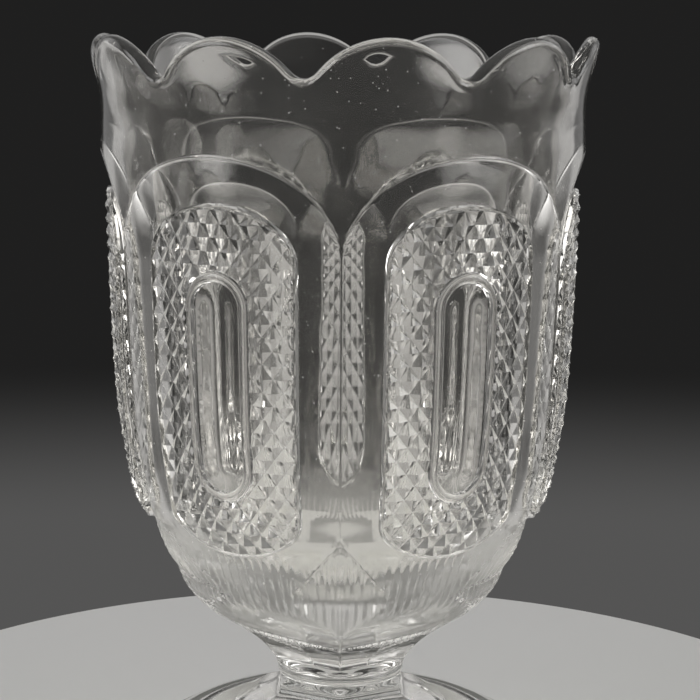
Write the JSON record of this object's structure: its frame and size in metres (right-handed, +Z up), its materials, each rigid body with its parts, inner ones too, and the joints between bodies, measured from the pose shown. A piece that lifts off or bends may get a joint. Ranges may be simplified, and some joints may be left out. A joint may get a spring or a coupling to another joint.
{
  "type": "lidless sugar bowl",
  "caption": "Tall footed sugar bowl of clear pressed glass, without a lid, with a scalloped rim, panels of diamond points round long ovals, and a short stem on a round foot.",
  "frame": {"origin": "centre of the flat ring that the foot stands on, at table height", "axes": "+Z up the axis of the bowl; -Y out of the side seen in the picture, which has a pillar in its middle"},
  "size_m": [0.1008, 0.1008, 0.1473],
  "materials": {
    "bowl_glass": "clear, fire-polished",
    "wafer_glass": "clear, fire-polished",
    "foot_glass": "clear, fire-polished"
  },
  "bodies": {
    "root": {"bowl": "bowl_glass", "joining_wafer": "wafer_glass", "foot": "foot_glass"}
  },
  "joints": []
}
